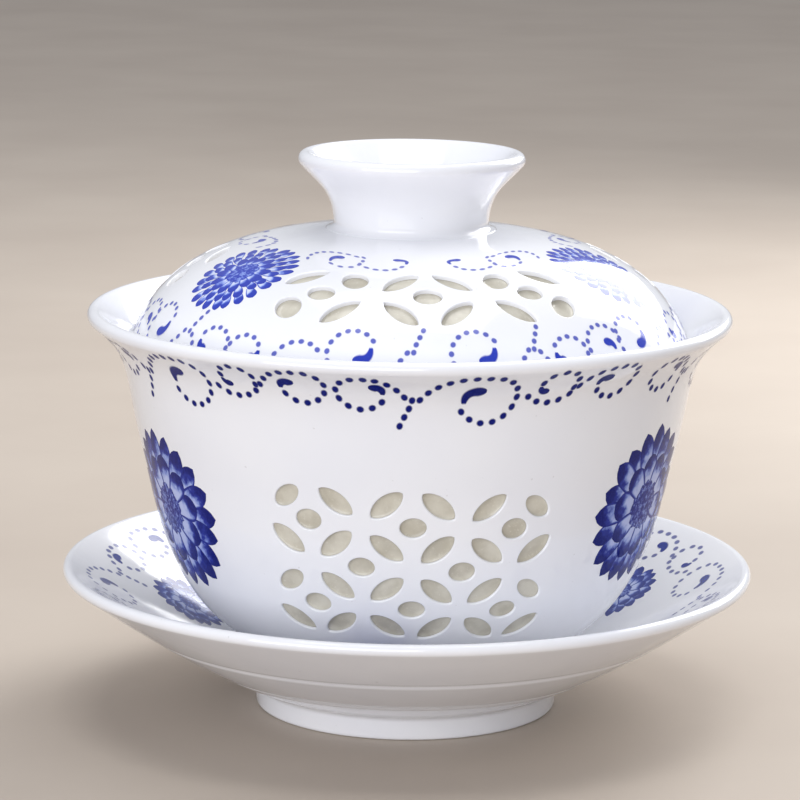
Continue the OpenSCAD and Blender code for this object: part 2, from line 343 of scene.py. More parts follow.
class Panel:
    """The net of triangles between a panel's holes, on a grid of columns and wall rows."""

    def __init__(self, skin, wall, rows, low_row, high_row, half_columns, holes):
        self.skin, self.wall, self.rows, self.holes = skin, wall, rows, holes
        self.low, self.high, self.half = low_row, high_row, half_columns
        middle = skin.at((rows[low_row] + rows[high_row]) / 2)[0]
        self.per_degree = middle * math.pi / 180
        self.keys, self.triangles = self.net()

    def spot(self, i, j):
        """A wall row and a column as a flat point."""
        return j * COLUMN_DEG * self.per_degree, self.rows[i]

    def ring_places(self, hole, ring):
        up = hole.s + ring[:, 1]
        return hole.azimuth + np.degrees(ring[:, 0] / self.skin.at(up)[0]), up

    def net(self):
        keys, points, edges = [], [], []
        rings = []
        for hole in self.holes:
            azimuth, s = self.ring_places(hole, hole.outline(RIM)[0])
            rings.append(np.stack([azimuth * self.per_degree, s], -1))
        border = ([(self.low, j) for j in range(-self.half, self.half)]
                  + [(i, self.half) for i in range(self.low, self.high)]
                  + [(self.high, j) for j in range(self.half, -self.half, -1)]
                  + [(i, -self.half) for i in range(self.high, self.low, -1)])
        for n, (i, j) in enumerate(border):
            keys.append(("grid", i, j))
            points.append(self.spot(i, j))
            edges.append((n, (n + 1) % len(border)))
        for h, ring in enumerate(rings):
            first = len(points)
            points += [tuple(p) for p in ring]
            keys += [("hole", h, n) for n in range(len(ring))]
            edges += [(first + n, first + (n + 1) % len(ring)) for n in range(len(ring))]
        inner = [(i, j) for i in range(self.low + 1, self.high)
                 for j in range(-self.half + 1, self.half)]
        grid = np.array([self.spot(i, j) for i, j in inner])
        free = np.ones(len(grid), bool)
        for ring in rings:
            gap = np.hypot(*(grid[:, None] - ring[None]).transpose(2, 0, 1)).min(1)
            free &= (gap > CLEAR) & ~inside(grid, ring)
        points += [tuple(p) for p in grid[free]]
        keys += [("grid", *ij) for ij, f in zip(inner, free) if f]
        made = delaunay_2d_cdt([Vector(p) for p in points], edges, [], 0, 1e-6)
        verts, triangles, origin = np.array([tuple(v) for v in made[0]]), made[2], made[3]
        middles = np.array([verts[list(t)].mean(0) for t in triangles])
        solid = np.ones(len(triangles), bool)
        for ring in rings:
            solid &= ~inside(middles, ring)
        kept = [t for t, s in zip(triangles, solid) if s]
        return [keys[o[0]] for o in origin], kept

    def settle(self, first_outer, last_inner, inner_rows):
        """Notes which rings of the turned wall the rows are, on both faces."""
        self.first_outer = first_outer
        self.inner_ring = {row: last_inner - k for k, row in enumerate(inner_rows)}

    def skip(self, i, column):
        """Whether a net replaces this quad of the turned wall."""
        if not any((column - c + self.half) % COLUMNS < 2 * self.half for c in PANEL_COLUMNS):
            return False
        on_outer = self.first_outer + self.low <= i < self.first_outer + self.high
        return on_outer or self.inner_ring[self.high] <= i < self.inner_ring[self.low]

    def pierce_all(self, build, rings, turned):
        """Puts the net into each of the three openings."""
        span = range(self.low, self.high + 1)
        outer = {r: rings[self.first_outer + r] for r in span}
        inner = {r: rings[self.inner_ring[r]] for r in span}
        for centre in PANEL_COLUMNS:
            self.pierce(build, outer, inner, centre, turned)

    def pierce(self, build, outer, inner, centre_column, first_azimuth):
        """Adds the net on both faces and the walls of the holes."""
        turned = first_azimuth + centre_column * COLUMN_DEG
        mouths = [self.tunnel(build, h, turned) for h in self.holes]
        for rings, side in ((outer, 0), (inner, -1)):
            def find(key):
                kind, i, j = key
                if kind == "hole":
                    return mouths[i][side][j]
                return rings[i][(centre_column + j) % COLUMNS]
            for t in self.triangles:
                build.face([find(self.keys[v]) for v in t])

    def tunnel(self, build, hole, turned):
        """Rings from the outer face to the inner one, with softly rounded rims."""
        bends = [(a, 0) for a in (0, 30, 60, 90)] + [(a, self.wall) for a in (90, 60, 30, 0)]
        rows = []
        for bend, far in bends:
            into = RIM * (1 - math.sin(math.radians(bend)))
            sunk = RIM * (1 - math.cos(math.radians(bend)))
            ring, outwards = hole.outline(into)
            azimuth, s = self.ring_places(hole, ring)
            azimuth = azimuth + turned
            depth = far - sunk if far else sunk
            points, normal = self.skin.place(azimuth, s, depth)
            facing = -normal if far else normal
            level = level_directions(azimuth, normal, outwards)
            lean = math.radians(bend)
            rows.append(build.add(points, unit(facing * math.cos(lean) - level * math.sin(lean))))
        build.grid(rows, wrap=True)
        return rows


def level_directions(azimuth, normal, flat):
    """Flat [across, up] directions on a wall as directions in space."""
    a = np.radians(azimuth)
    across = np.stack([np.cos(a), np.sin(a), 0 * a], 1)
    up = np.cross(normal, across)
    up = up * np.sign(up[:, 2:3] + 1e-9)
    return unit(across * flat[:, :1] + up * flat[:, 1:])


def panes(panel, turned, depth):
    """Glaze standing in a panel's holes, drawn up a little where it meets the walls."""
    build = Build()
    shares = (1.0, 0.93, 0.82, 0.6, 0.32)
    draw_up = (0.30, 0.13, 0.05, 0.0, 0.0)
    for hole in panel.holes:
        faces = []
        for below, sign in ((depth, -1), (panel.wall - PANE_BACK, 1)):
            rings = []
            for share, rise in zip(shares, draw_up):
                ring, _ = hole.outline(0.03 if share == 1.0 else 0.0, share)
                azimuth, s = panel.ring_places(hole, ring)
                points, normal = panel.skin.place(azimuth + turned, s, below + sign * rise)
                rings.append(build.add(points, -sign * normal))
            centre, normal = panel.skin.place(np.array([hole.azimuth + turned]),
                                              np.array([hole.s]), below)
            build.grid(rings, wrap=True)
            build.fan(rings[-1], build.add(centre, -sign * normal)[0])
            faces.append(rings[0])
        build.grid(faces, wrap=True)
    return build


# ---- painted marks ----
# A mark is a thin plate of pigment. Its "mark" attribute holds the ink's strength, how far
# along a petal the point is (2 in a flower's heart), and how far across.

# how far a plate stands out of the wall before any lift, and how deep it reaches in
PROUD, SUNK = 0.014, 0.03
# a plate's edge stands this share as high as its middle
EDGE_SHARE = 0.7
# points along a petal and across a stroke, and the least half width of either
PETAL_ROWS, ACROSS, LEAST = 14, 7, 0.02


class Paint(Build):
    """Plates of pigment laid on a skin."""

    def __init__(self, skin, girth=None, strength=1.0):
        super().__init__()
        self.skin, self.girth, self.strength = skin, girth, strength

    def lay(self, azimuth, s, flat, height):
        """Points on the skin, a height above it."""
        return self.skin.spread(azimuth, s, np.asarray(flat), -height, self.girth)

    def plate(self, azimuth, s, flat, marks, lift=0.0):
        """A closed plate from a grid of flat points; its edge is lower than its middle."""
        rows, across = flat.shape[:2]
        edge = np.ones((rows, across), bool)
        edge[1:-1, 1:-1] = False
        height = np.where(edge, PROUD * EDGE_SHARE, PROUD) + lift
        points, normals = self.lay(azimuth, s, flat, height)
        top = self.add(points, normals, marks)
        points, normals = self.lay(azimuth, s, flat, np.full((rows, across), -SUNK))
        under = self.add(points, -normals, marks)
        under = np.where(edge, top, under)
        self.grid(top)
        self.grid(under[:, ::-1])

    def dot(self, azimuth, s, middle, heading, length, width):
        """An oval dot with a soft edge, drawn out up the wall where the wall flares."""
        t = np.linspace(0, 2 * math.pi, 12, endpoint=False)
        oval = np.stack([length / 2 * np.cos(t), width / 2 * np.sin(t)], 1)
        oval = oval @ np.array([along(heading), along(heading + 90)])
        flare = max(0.0, -self.skin.at(s + middle[1])[3] - 0.2)
        oval[:, 1] *= 1 + 0.7 * flare
        self.disc(azimuth, s, middle,
                  [(middle + oval, PROUD * EDGE_SHARE, [0.0, 1, 0]),
                   (middle + oval * 0.66, PROUD, [self.strength, 1, 0])])

    def disc(self, azimuth, s, middle, layers):
        """A closed disc from rings of flat points, edge first, each with a height and a mark."""
        rings, ends = [], []
        for flat, height, mark in layers:
            points, normals = self.lay(azimuth, s, flat, height)
            rings.append(self.add(points, normals, np.tile(mark, (len(flat), 1))))
        for top, facing in ((height, 1), (-SUNK, -1)):
            points, normals = self.lay(azimuth, s, [middle], top)
            ends.append(self.add(points, facing * normals, [mark])[0])
        self.grid(rings, wrap=True)
        self.fan(rings[-1], ends[0])
        self.fan(rings[0], ends[1])

    def stroke(self, azimuth, s, spine, widths, lift=0.0, marks=None):
        """A plate along a spine, widths to either side."""
        ahead = unit(np.gradient(spine, axis=0))
        share = np.linspace(-1, 1, ACROSS)
        offset = -right_of(ahead)[:, None] * (share[None, :, None] * widths[:, None, None])
        if marks is None:
            ink = np.clip((1 - np.abs(share)) / 0.22, 0, 1)
            end = np.clip(np.minimum(np.arange(len(spine)), np.arange(len(spine))[::-1]), 0, 1)
            marks = np.stack([ink[None] * end[:, None], np.ones((len(spine), ACROSS)),
                              np.zeros((len(spine), ACROSS))], -1)
        self.plate(azimuth, s, spine[:, None] + offset, marks, lift)

    def comma(self, azimuth, s, tail, elbow, head, size):
        """A curled drop: a thin tail that swells into a round head."""
        tail, elbow, head = (np.array(p, float) for p in (tail, elbow, head))
        spine = bezier([tail, (tail + 2 * elbow) / 3, (head + 2 * elbow) / 3, head], 16)
        spine = np.vstack([spine, spine[-1] + 0.85 * size * unit(spine[-1] - spine[-2])])
        way = way_along(spine)
        nose = way[-1] - 1.15 * size
        even = np.concatenate([np.linspace(0, nose, 12)[:-1],
                               nose + 1.15 * size * np.sin(np.linspace(0, math.pi / 2, 7))])
        spine = sample(spine, way, even)
        swell = 0.26 + 0.74 * np.clip(even / nose, 0, 1) ** 0.8
        blunt = np.sqrt(np.clip(1 - (np.clip(even - nose, 0, None) / (1.17 * size)) ** 2, 0, 1))
        self.stroke(azimuth, s, spine, np.maximum(size * swell * blunt, LEAST), lift=0.005)


def oval_line(centre, rx, ry, start, end):
    a = np.radians(np.linspace(start, end, 60))
    return np.stack([centre[0] + rx * np.cos(a), centre[1] + ry * np.sin(a)], 1)


def beads(line, gap):
    """Evenly spaced points on a line and the line's heading at each."""
    way = way_along(line)
    want = np.linspace(0, way[-1], max(2, int(round(way[-1] / gap)) + 1))
    step = sample(line, way, want + 0.3) - sample(line, way, want - 0.3)
    return sample(line, way, want), np.degrees(np.arctan2(step[:, 1], step[:, 0]))


def dotted(paint, azimuth, s, line, gap, length, width):
    for spot, heading in zip(*beads(line, gap)):
        paint.dot(azimuth, s, spot, heading, length, width)


# The border scroll, in millimetres from the fork of its stem. Each strand is a dotted line,
# and each loop ends in a comma.
SCROLL_LENGTH = 49.2
SCROLL_GIRTH = SCROLL_LENGTH * 6 / (2 * math.pi)
STEM = [bezier([(-1.5, -4.5), (-0.9, -3), (0, -1.9), (0.35, 0)], 20)]
BIG_LOOP = [np.vstack([bezier([(1.5, 0.1), (3.4, 2.9), (6.2, 5.0), (9.6, 5.05)], 30),
                       oval_line((11.6, 0.45), 4.55, 4.6, 95, -146)])]
RUN = [np.vstack([bezier([(18.0, 0.2), (19.6, -1.6), (23.6, -1.9), (25.6, 0.9)], 30),
                  bezier([(25.6, 0.9), (27.2, 3.1), (28.0, 4.8), (30.4, 5.4)], 20),
                  oval_line((33.0, 2.2), 3.6, 3.5, 120, -146)])]
SMALL_LOOP = [oval_line((22.6, 2.6), 2.9, 3.0, 172, -22)]
LAST_LOOP = [np.vstack([bezier([(48.4, 0.6), (47.2, 2.4), (46.2, 3.6), (44.2, 4.4)], 20),
                        oval_line((42.0, 1.4), 3.7, 3.3, 56, 326)])]
CLOSE_LOOP = [oval_line((19.9, 0.6), 4.3, 4.0, 190, 448)]
BIG_COMMA = [((8.1, -0.9), (7.9, 1.7), (10.2, 1.8), 1.26)]
SMALL_COMMA = [((19.6, 2.3), (19.6, 1.2), (20.5, 1.1), 0.85)]
RUN_COMMA = [((29.6, 1.3), (29.5, 3.0), (31.0, 2.9), 1.12)]
LAST_COMMA = [((45.2, 0.9), (45.4, 2.5), (44.1, 2.6), 1.08)]
CLOSE_COMMA = [((17.8, 2.0), (17.7, 0.4), (19.3, 0.2), 1.05)]


def scroll(paint, azimuth, s, strands, commas, size=1.0, turned=False, from_end=False):
    """Part of the border scroll with its fork at one place. A turned one is upside down."""
    sign = -1 if turned else 1
    shift = np.array([SCROLL_LENGTH if from_end else 0.0, 0.0])
    for strand in strands:
        line = (strand - shift) * size * sign
        dotted(paint, azimuth, s, line, 1.92 * size, 1.44 * size, 1.24 * size)
    for *places, fat in commas:
        places = [(np.array(p) - shift) * size * sign for p in places]
        paint.comma(azimuth, s, *places, fat * size)


def whole_scroll(paint, azimuth, s, size=1.0, turned=False):
    scroll(paint, azimuth, s, STEM + BIG_LOOP + RUN + SMALL_LOOP,
           BIG_COMMA + RUN_COMMA + SMALL_COMMA, size, turned)
    scroll(paint, azimuth, s, LAST_LOOP, LAST_COMMA, size, turned, from_end=True)


def petal(paint, azimuth, s, angle, start, reach, width, rng, lift):
    """A petal from the heart outwards, widest two thirds of the way and ogival at the tip."""
    t = np.linspace(0, 1, PETAL_ROWS)
    away = start + (reach - start) * t
    lean = rng.uniform(-0.3, 0.3) * t**2
    spine = np.outer(away, along(angle)) + np.outer(lean, along(angle + 90))
    root = 0.45 + 0.55 * np.sin(np.clip(t / 0.66, 0, 1) * math.pi / 2)
    tip = (1 - (np.clip(t - 0.66, 0, 1) / 0.34) ** 2) ** 0.72
    share = np.linspace(-1, 1, ACROSS)
    marks = np.stack([np.ones((PETAL_ROWS, ACROSS)), t[:, None] * rng.uniform(0.94, 1.06) + 0 * share,
                      0 * t[:, None] + share], -1)
    paint.stroke(azimuth, s, spine, np.maximum(width / 2 * root * tip, LEAST), lift, marks)


def flower(paint, azimuth, s, radius, rounds, seed):
    """A chrysanthemum: rounds of petals round a mottled heart."""
    rng = random.Random(seed)
    first = rng.uniform(0, 18)
    for k, (count, share, breadth, root) in enumerate(rounds):
        for n in range(count):
            angle = first + 9 * k + 360 * (n + rng.uniform(-0.09, 0.09)) / count
            reach = radius * share * rng.uniform(0.96, 1.02)
            width = 2 * math.pi * reach / count * breadth * rng.uniform(0.9, 1.0)
            petal(paint, azimuth, s, angle, reach * root, reach, width, rng,
                  0.012 * k + 0.006 * (n % 2))
    heart(paint, azimuth, s, radius * 0.31, 0.012 * len(rounds) + 0.004, rng)


def heart(paint, azimuth, s, radius, lift, rng):
    """A mottled disc with a ragged edge over the petals' roots."""
    turns = np.radians(np.arange(48) * 7.5)
    rag = np.array([rng.uniform(0.86, 1.08) for _ in turns])
    ring = np.stack([np.cos(turns), np.sin(turns)], 1) * radius
    layers = [(ring * rag[:, None], lift + EDGE_SHARE * PROUD, [1, 2, 0])]
    layers += [(ring * share, lift + PROUD, [1, 2, 0]) for share in (0.86, 0.6, 0.3)]
    paint.disc(azimuth, s, (0.0, 0.0), layers)


# ---- the pieces' lines ----

# The numbers that stand before along() and the rises are the lengths of curve handles.

# bowl: belly up to the shoulder, then the flare up to the rounded lip
SHOULDER, SHOULDER_RISE = np.array([42.7, BOWL_Z + 37.6]), along(90 - 13.9)
BOWL_FOOT_R, BOWL_FOOT_H, BOWL_FOOT_W = 21.5, 4.2, 2.8
LIP_SLOPE, LIP_R = 37.4, BOWL_WALL / 2
LIP = np.array([BOWL_R - LIP_R, BOWL_TOP - LIP_R])
BELLY_START = np.array([BOWL_FOOT_R + 0.5, BOWL_Z + BOWL_FOOT_H])
LIP_END = LIP + LIP_R * along(LIP_SLOPE - 90)
BELLY = bezier([BELLY_START, BELLY_START + 17.7 * along(20), SHOULDER - 11.6 * SHOULDER_RISE,
                SHOULDER], 400)
FLARE = bezier([SHOULDER, SHOULDER + 10.9 * SHOULDER_RISE, LIP_END - 8.3 * along(LIP_SLOPE),
                LIP_END], 300)
BOWL_LINE = np.vstack([BELLY, FLARE])
bowl_skin = Skin(np.vstack([BOWL_LINE, arc(LIP, LIP_R, LIP_SLOPE - 90, LIP_SLOPE, 40)]))
BOWL_TOP_S = bowl_skin.s_at_height(LIP_END[1])

# lid: from its rounded edge up the dome to the knob's seat
EDGE_R, DOME_LEAN, SEAT_R = LID_WALL / 2, 20, 13.0
EDGE = np.array([LID_R - EDGE_R, LID_LOW + EDGE_R])
DOME_START = EDGE + EDGE_R * along(DOME_LEAN)
DOME = bezier([DOME_START, DOME_START + 16 * along(90 + DOME_LEAN),
               (SEAT_R + 9, LID_TOP - 1.3), (SEAT_R, LID_TOP)], 500)
lid_skin = Skin(DOME)

# saucer: the dish's under side and upper side
DISH_LIP_R, DISH_SLOPE, DISH_FOOT_R, DISH_FOOT_H = DISH_WALL / 2 - 0.25, 34, 25.0, 4.0
WELL_Z, WELL_R = BOWL_Z, 22.7
DISH_LIP = np.array([SAUCER_R - DISH_LIP_R, SAUCER_TOP - DISH_LIP_R])
DISH_START = np.array([DISH_FOOT_R, DISH_FOOT_H])
DISH_END = DISH_LIP + DISH_LIP_R * along(DISH_SLOPE - 90)
DISH = bezier([DISH_START, DISH_START + 11 * along(20), DISH_END - 5.5 * along(DISH_SLOPE),
               DISH_END], 300)
TAPER = np.linspace(0.5, -0.5, len(DISH))[:, None]
DISH_UPPER = DISH - (DISH_WALL + TAPER) * line_normals(DISH)
dish_skin = Skin(DISH_UPPER, flip=True)
# radii of the two lines turned in the under side
TURNED_LINES = (DISH[69, 0], DISH[159, 0])


# a flower's rounds of petals: how many, their reach, their breadth, and where they start
BOWL_FLOWER = ((20, 1.0, 0.98, 0.25), (10, 0.68, 0.86, 0.25))
LID_FLOWER = ((24, 1.0, 0.74, 0.66), (20, 0.80, 0.72, 0.58), (14, 0.60, 0.80, 0.30))
SMALL_FLOWER = ((18, 1.0, 0.95, 0.25), (10, 0.7, 0.88, 0.25))
# degrees that the first of the bowl border's six repeats takes; the others share the rest
FIRST_REPEAT = 64


def bowl_holes():
    """Four rows of six lenses as linked rings, with ovals inside the rings."""
    rng = random.Random(11)
    top = bowl_skin.s_at_height(BOWL_Z + 35.4)
    step, column, tilt = 7.1, 10.95, 0.026
    holes = []
    for row in range(4):
        for col in range(6):
            azimuth = (col - 2.5) * column * (0.97 + 0.02 * row)
            lean = 40 if (row + col) % 2 == 0 else -40
            blunt = col in (0, 5) and row % 2 == 0
            length, width, point = (4.8, 2.9, 1.12) if blunt else (6.3, 2.95, 1.38)
            s = top - step * row - tilt * azimuth
            holes.append(Hole(azimuth, s, length, width, lean, point, rng))
    for row in range(3):
        for col in range(5):
            if (row + col) % 2 == 0:
                azimuth = (col - 2) * column
                s = top - step * (row + 0.5) - tilt * azimuth
                holes.append(Hole(azimuth, s, 4.05, 3.25, 0, 1.0, rng))
    return holes, top + 4.6, top - 3 * step - 4.6


def lid_holes():
    """Two rows of lenses in three pairs, an oval inside each pair of pairs."""
    rng = random.Random(12)
    upper = lid_skin.s_at_radius(30.8)
    lower = upper - 7.2
    holes = []
    for pair in (-1, 0, 1):
        for side in (-1, 1):
            azimuth = pair * 27.6
            shape = (4.5, 3.8, 1.0) if pair * side == -1 else (6.9, 2.75, 1.5)
            holes.append(Hole(azimuth + side * 7.4, upper, *shape[:2], -side * 40, shape[2], rng))
            shape = (4.5, 4.0, 1.0) if pair * side == 1 else (6.9, 2.75, 1.5)
            holes.append(Hole(azimuth + side * 6.5, lower, *shape[:2], side * 40, shape[2], rng))
        holes.append(Hole(pair * 27.6, (upper + lower) / 2, 4.3, 3.2, 0, 1.0, rng))
    return holes, upper + 4.2, lower - 4.2


def spaced(start, end, gap):
    return np.linspace(start, end, max(2, int(round(abs(end - start) / gap)) + 1))


def wall_rows(start, low, high, end, gap):
    """Row distances up a wall that fall on a panel's lower and upper edges."""
    rows = np.concatenate([spaced(start, low, gap)[:-1], spaced(low, high, gap)[:-1],
                           spaced(high, end, gap * 0.75)])
    return rows, int(np.argmin(abs(rows - low))), int(np.argmin(abs(rows - high)))


# ---- the pieces ----


def glaze_panels(panel, part, turned, pane, depth):
    for side, angle in zip(SIDES, PANELS):
        panes(panel, turned + angle, depth).make(part + "_glaze_" + side, [pane], part,
                                                 "clear_glaze", [part + "_panes_" + side], False)


def make_bowl(glazed, bare, pane):
    holes, high, low = bowl_holes()
    rows, low_row, high_row = wall_rows(1.2, low, high, BOWL_TOP_S, 1.15)
    panel = Panel(bowl_skin, BOWL_WALL, rows, low_row, high_row, BOWL_HALF, holes)
    inner_foot, recess = BOWL_FOOT_R - BOWL_FOOT_W, BOWL_Z + BOWL_FOOT_H - 1
    start = bowl_skin.at(rows[0])
    foot = soften([(0, recess), (inner_foot - 0.4, recess), (inner_foot + 0.3, BOWL_Z),
                   (BOWL_FOOT_R - 0.2, BOWL_Z), (BOWL_FOOT_R, BOWL_FOOT_H + BOWL_Z - 0.2),
                   (start[0], start[1])], 0.5)[:-1]
    outer = np.stack(bowl_skin.at(rows)[:2], 1)
    lip = arc(LIP, LIP_R, LIP_SLOPE - 90, LIP_SLOPE + 90, 14)[1:-1]
    inner_start = bowl_skin.s_at_height(BOWL_Z + BOWL_FOOT_H + 4)
    inner_rows = [k for k in range(len(rows)) if rows[k] > inner_start - 3]
    inner = np.stack(bowl_skin.at(rows[inner_rows], BOWL_WALL)[:2], 1)[::-1]
    floor_z = recess + 3.2
    floor = bezier([inner[-1], inner[-1] - (6, 2.1), (11, floor_z), (6, floor_z)], 14)[1:]
    line = np.vstack([foot, outer, lip, inner, floor, [(0, floor_z)]])
    first_outer, first_inner = len(foot), len(foot) + len(outer) + len(lip)
    panel.settle(first_outer, first_inner + len(inner) - 1, inner_rows)
    build = Build()
    ring_z = BOWL_Z + 0.12
    rings = turn(build, line, BOWL_TURN, panel.skip,
                 lambda i: 1 if line[i][1] < ring_z and line[i + 1][1] < ring_z + 0.1 else 0)
    panel.pierce_all(build, rings, BOWL_TURN)
    build.make("bowl_body", [glazed, bare], "bowl", "porcelain", ["bowl"])
    glaze_panels(panel, "bowl", BOWL_TURN, pane, BOWL_PANE_DEPTH)


def make_lid(glazed, pane):
    holes, high, low = lid_holes()
    rows, low_row, high_row = wall_rows(0.0, low, high, lid_skin.s[-1], 1.1)
    panel = Panel(lid_skin, LID_WALL, rows, low_row, high_row, LID_HALF, holes)
    outer = np.stack(lid_skin.at(rows)[:2], 1)
    under_rows = [k for k in range(len(rows)) if rows[k] < lid_skin.s[-1] - 1]
    under = np.stack(lid_skin.at(rows[under_rows], LID_WALL)[:2], 1)[::-1]
    edge = arc(EDGE, EDGE_R, DOME_LEAN - 180, DOME_LEAN, 14)[1:-1]
    centre = [(0, LID_TOP - LID_WALL), (6, LID_TOP - LID_WALL)]
    line = np.vstack([centre, under, edge, outer, [(SEAT_R - 1, LID_TOP), (0, LID_TOP)]])
    panel.settle(len(centre) + len(under) + len(edge), len(centre) + len(under) - 1, under_rows)
    build = Build()
    rings = turn(build, line, LID_TURN, panel.skip)
    panel.pierce_all(build, rings, LID_TURN)
    build.make("lid_dome", [glazed], "lid", "porcelain", ["lid"])
    glaze_panels(panel, "lid", LID_TURN, pane, LID_PANE_DEPTH)


def make_knob(glazed):
    lip_r = KNOB_WALL / 2
    lip = np.array([KNOB_R - lip_r, KNOB_TOP - lip_r])
    waist, bore = 12.2, 9.0
    lip_out, lip_in, flare = lip + lip_r * along(-42), lip + lip_r * along(138), along(48)
    side = bezier([(waist, KNOB_Z + 1.1), (waist + 0.5, KNOB_Z + 6.2),
                   lip_out - 4.6 * flare, lip_out], 22)
    hollow = bezier([lip_in, lip_in - 4 * flare,
                     (bore + 0.3, KNOB_Z + 6.6), (bore, KNOB_Z + 2.6)], 20)
    root = bezier([(SEAT_R + 0.5, KNOB_Z - 0.06), (SEAT_R - 0.2, KNOB_Z + 0.05),
                   (waist - 0.02, KNOB_Z + 0.5), (waist, KNOB_Z + 1.1)], 8)
    bowl_floor = bezier([(bore, KNOB_Z + 2.6), (bore - 0.1, KNOB_Z + 1.3), (7, KNOB_Z + 1.2),
                         (4, KNOB_Z + 1.2)], 10)
    line = np.vstack([[(0, KNOB_Z - 0.3), (SEAT_R + 0.4, KNOB_Z - 0.3)], root, side[1:],
                      arc(lip, lip_r, -42, 138, 14)[1:-1], hollow, bowl_floor[1:],
                      [(0, KNOB_Z + 1.2)]])
    build = Build()
    turn(build, line)
    build.make("lid_knob_cup", [glazed], "lid", "porcelain", ["lid_knob"])


def make_saucer(glazed, bare):
    """The dish with two turned lines beneath, a foot ring and a well for the bowl."""
    inner_foot = DISH_FOOT_R - 3.4
    under_skin = Skin(DISH)
    total = under_skin.s[-1]
    rows = np.concatenate([spaced(1.0, total * 0.97, 0.5), [total]])
    groove = sum(0.32 * np.clip(1 - abs(rows - under_skin.s_at_radius(r)) / 0.7, 0, 1)
                 for r in TURNED_LINES)
    under = np.stack(under_skin.at(rows, groove)[:2], 1)
    foot = soften([(0, 2.6), (inner_foot - 1.0, 2.6), (inner_foot + 0.4, 0), (DISH_FOOT_R - 1.0, 0),
                   (DISH_FOOT_R - 0.6, DISH_FOOT_H - 0.4), tuple(under[0])], 0.6)[:-1]
    lip = arc(DISH_LIP, DISH_LIP_R, DISH_SLOPE - 90, DISH_SLOPE + 90, 14)[1:-1]
    top_rows = spaced(dish_skin.s[-1], dish_skin.s_at_radius(WELL_R + 2.6), 1.0)
    upper = np.stack(dish_skin.at(top_rows)[:2], 1)
    well = soften([tuple(upper[-1]), (WELL_R + 0.7, WELL_Z + 1.6), (WELL_R, WELL_Z),
                   (WELL_R - 3, WELL_Z)], 0.8)[1:]
    line = np.vstack([foot, under, lip, upper, well, [(12, WELL_Z), (0, WELL_Z)]])
    build = Build()
    turn(build, line, 0.0, None,
         lambda i: 1 if line[i][1] < 0.15 and line[i + 1][1] < 0.3 else 0)
    build.make("saucer_dish", [glazed, bare], "saucer", "porcelain", ["saucer"])


def paint_bowl(cobalt):
    fork = bowl_skin.s_at_height(40) + 18.75
    border = Paint(bowl_skin, SCROLL_GIRTH)
    whole_scroll(border, 0, fork)
    other = (360 - FIRST_REPEAT) / 5
    for n in range(5):
        whole_scroll(border, FIRST_REPEAT + other * n, fork, other / 60)
    border.make("bowl_border_scroll", [cobalt], "bowl", "porcelain")
    flowers = Paint(bowl_skin)
    for n, (azimuth, above) in enumerate(((-64, 24.6), (61.8, 26.4), (179, 25.4))):
        flower(flowers, azimuth, bowl_skin.s_at_height(14) + above, 13.3, BOWL_FLOWER, 21 + n)
    flowers.make("bowl_flowers", [cobalt], "bowl", "porcelain")


def paint_lid(cobalt):
    size, fork = 0.82, 5.4
    border = Paint(lid_skin, lid_skin.at(fork)[0], 0.9)
    for third in PANELS:
        left, middle, right, end = (third + a for a in (-52.7, 1.1, 26.5, 66.8))
        for azimuth in (left, middle, right):
            scroll(border, azimuth, fork, STEM, [], size, turned=True)
        for azimuth in (middle, right, end):
            scroll(border, azimuth, fork, BIG_LOOP, BIG_COMMA, size, turned=True)
        scroll(border, middle, fork, RUN, RUN_COMMA, size, turned=True)
        scroll(border, end, fork, CLOSE_LOOP, CLOSE_COMMA, size, turned=True)
        for azimuth in (left, right):
            scroll(border, azimuth, fork, LAST_LOOP, LAST_COMMA, size, True, from_end=True)
    border.make("lid_border_scroll", [cobalt], "lid", "porcelain")
    crown = Paint(lid_skin, None, 0.85)
    for third in PANELS:
        for side in (-1, 1):
            crown_scroll(crown, third + 6.0, side)
    crown.make("lid_crown_scroll", [cobalt], "lid", "porcelain")
    flowers = Paint(lid_skin)
    for n, third in enumerate(PANELS):
        flower(flowers, third - 53.2, 18.1, 9.1, LID_FLOWER, 31 + n)
    flowers.make("lid_flowers", [cobalt], "lid", "porcelain")


def crown_scroll(paint, azimuth, side):
    """The light scroll round the knob: an open loop and a closed one, mirrored in pairs."""
    level = lid_skin.s_at_radius(24.4)
    mirror = np.array([side, 1.0])
    strands = [np.vstack([oval_line((7.2, -0.6), 3.5, 2.5, -152, -15),
                          bezier([(10.0, -0.9), (10.2, 0.4), (9.0, 1.0), (10.2, 1.8)], 16),
                          oval_line((14.4, -1.4), 5.3, 4.0, 135, 8)]),
               oval_line((13.1, -0.9), 2.6, 1.8, -160, -30)]
    for strand in strands:
        dotted(paint, azimuth, level, strand * mirror, 1.55, 1.25, 0.8)
    for places, fat in ((((3.5, -0.9), (2.5, 0.8), (4.7, 0.8)), 0.62),
                        (((15.5, -1.1), (15.3, 0.8), (13.5, 0.8)), 0.75)):
        paint.comma(azimuth, level, *(np.array(p) * mirror for p in places), fat)


def paint_saucer(cobalt):
    fork, size = dish_skin.s_at_radius(46.9), 0.95
    border = Paint(dish_skin, SCROLL_GIRTH * size, 0.85)
    for n in range(6):
        whole_scroll(border, 22.0 + 60 * n, fork, size)
    border.make("saucer_border_scroll", [cobalt], "saucer", "porcelain")
    flowers = Paint(dish_skin)
    for n, (azimuth, radius) in enumerate(((-8, 38.0), (115, 39.2), (-107, 37.2))):
        flower(flowers, azimuth, dish_skin.s_at_radius(radius), 6.9, SMALL_FLOWER, 41 + n)
    flowers.make("saucer_flowers", [cobalt], "saucer", "porcelain")


# ---- materials ----


